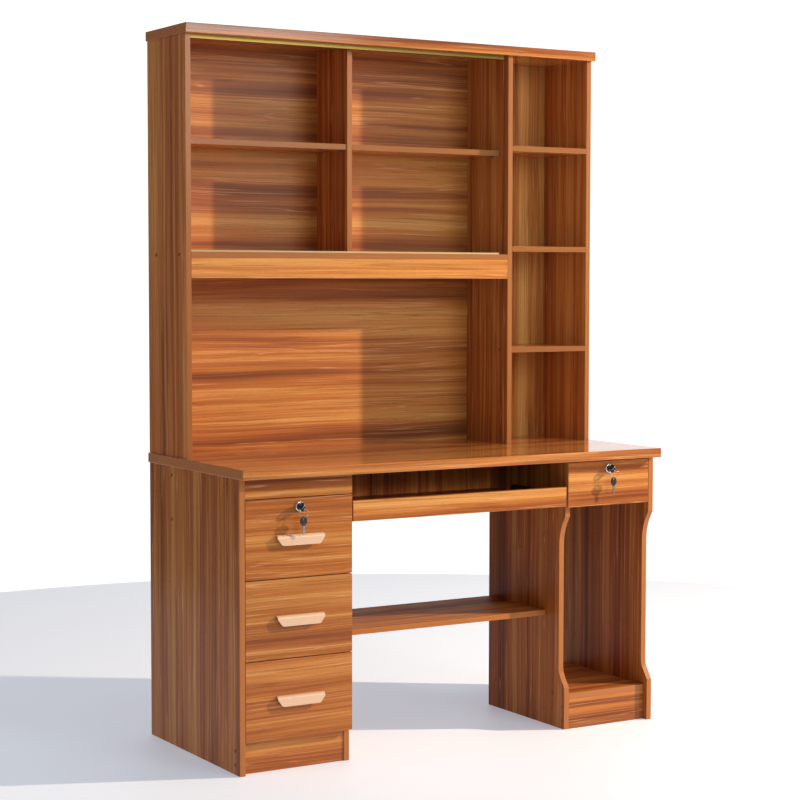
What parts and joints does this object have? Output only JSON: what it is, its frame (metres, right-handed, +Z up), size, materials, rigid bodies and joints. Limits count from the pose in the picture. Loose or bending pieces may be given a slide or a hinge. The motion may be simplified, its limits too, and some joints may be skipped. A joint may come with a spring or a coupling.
{
  "type": "computer desk with hutch",
  "caption": "Wood-grain computer desk with a pull-out keyboard tray, drawer pedestal, tower bay with a small locking drawer, footrest and a bookcase hutch.",
  "frame": {"origin": "on the floor, under the middle of the worktop's length and depth", "axes": "+Z up, the tallest way; +X to the right of someone sitting at the desk; +Y away from the sitter, to the back, the shallowest way"},
  "size_m": [1.26, 0.565, 1.8458],
  "materials": {
    "wood_grain_laminate": "satin melamine foil with a printed wood grain",
    "back_board": "thin melamine-faced board",
    "drawer_board": "matte foil-wrapped board",
    "rail_steel": "black powder-coated steel",
    "chrome": "polished chrome plate",
    "key_steel": "nickel-plated steel",
    "pull_lacquer": "satin champagne lacquer",
    "gold_track": "gold-anodised aluminium",
    "cream_track": "extruded cream plastic",
    "black_rubber": "matte moulded rubber",
    "brown_caps": "moulded plastic"
  },
  "bodies": {
    "carcass": {"left_side_panel": "wood_grain_laminate", "right_side_panel": "wood_grain_laminate", "pedestal_inner_panel": "wood_grain_laminate", "bay_inner_panel": "wood_grain_laminate", "worktop": "wood_grain_laminate", "pedestal_fascia": "wood_grain_laminate", "pedestal_plinth": "wood_grain_laminate", "pedestal_floor": "wood_grain_laminate", "bay_plinth": "wood_grain_laminate", "bay_floor": "wood_grain_laminate", "rear_rail": "wood_grain_laminate", "footrest_shelf": "wood_grain_laminate", "hutch_left_panel": "wood_grain_laminate", "hutch_right_panel": "wood_grain_laminate", "hutch_tall_divider": "wood_grain_laminate", "hutch_top_board": "wood_grain_laminate", "hutch_long_shelf": "wood_grain_laminate", "hutch_apron": "wood_grain_laminate", "hutch_middle_divider": "wood_grain_laminate", "adjustable_shelves": "wood_grain_laminate", "column_shelves": "wood_grain_laminate", "pedestal_back_panel": "back_board", "hutch_back_wide": "back_board", "hutch_back_narrow": "back_board", "slide_channels": "rail_steel", "shelf_pins": "key_steel", "upper_door_track": "gold_track", "lower_door_track": "cream_track", "door_stop": "black_rubber", "screw_caps": "brown_caps"},
    "drawer_1": {"drawer_1_front": "wood_grain_laminate", "drawer_1_bottom": "back_board", "drawer_1_box": "drawer_board", "drawer_1_slide_rails": "rail_steel", "drawer_1_pull": "pull_lacquer", "lock_1_housing": "chrome"},
    "drawer_2": {"drawer_2_front": "wood_grain_laminate", "drawer_2_bottom": "back_board", "drawer_2_box": "drawer_board", "drawer_2_slide_rails": "rail_steel", "drawer_2_pull": "pull_lacquer"},
    "drawer_3": {"drawer_3_front": "wood_grain_laminate", "drawer_3_bottom": "back_board", "drawer_3_box": "drawer_board", "drawer_3_slide_rails": "rail_steel", "drawer_3_pull": "pull_lacquer"},
    "small_drawer": {"small_drawer_front": "wood_grain_laminate", "small_drawer_bottom": "back_board", "small_drawer_box": "drawer_board", "small_drawer_slide_rails": "rail_steel", "lock_2_housing": "chrome"},
    "keyboard_tray": {"tray_front": "wood_grain_laminate", "tray_board": "wood_grain_laminate", "tray_slide_rails": "rail_steel"},
    "lock_1_plug_and_key": {"lock_1_plug": "key_steel", "lock_1_key": "key_steel"},
    "lock_1_hanging_key": {"lock_1_spare_key": "key_steel"},
    "lock_2_plug_and_key": {"lock_2_plug": "key_steel", "lock_2_key": "key_steel"},
    "lock_2_hanging_key": {"lock_2_spare_key": "key_steel"}
  },
  "joints": [
    {"name": "drawer_1_slide", "type": "slide", "parent": "carcass", "child": "drawer_1", "axis": [0, -1, 0], "range_m": [0, 0.26]},
    {"name": "drawer_2_slide", "type": "slide", "parent": "carcass", "child": "drawer_2", "axis": [0, -1, 0], "range_m": [0, 0.26]},
    {"name": "drawer_3_slide", "type": "slide", "parent": "carcass", "child": "drawer_3", "axis": [0, -1, 0], "range_m": [0, 0.26]},
    {"name": "small_drawer_slide", "type": "slide", "parent": "carcass", "child": "small_drawer", "axis": [0, -1, 0], "range_m": [0, 0.26]},
    {"name": "keyboard_tray_slide", "type": "slide", "parent": "carcass", "child": "keyboard_tray", "axis": [0, -1, 0], "range_m": [0, 0.19]},
    {"name": "lock_1_turn", "type": "hinge", "parent": "drawer_1", "child": "lock_1_plug_and_key", "pos_m": [-0.4615, -0.2525, 0.651], "axis": [0, 1, 0], "range_deg": [0, 90]},
    {"name": "lock_1_key_swing", "type": "hinge", "parent": "lock_1_plug_and_key", "child": "lock_1_hanging_key", "pos_m": [-0.4615, -0.274, 0.651], "axis": [1, 0, 0], "range_deg": [-40, 6]},
    {"name": "lock_2_turn", "type": "hinge", "parent": "small_drawer", "child": "lock_2_plug_and_key", "pos_m": [0.476, -0.2525, 0.7], "axis": [0, 1, 0], "range_deg": [0, 90]},
    {"name": "lock_2_key_swing", "type": "hinge", "parent": "lock_2_plug_and_key", "child": "lock_2_hanging_key", "pos_m": [0.476, -0.274, 0.7], "axis": [1, 0, 0], "range_deg": [-40, 6]}
  ]
}
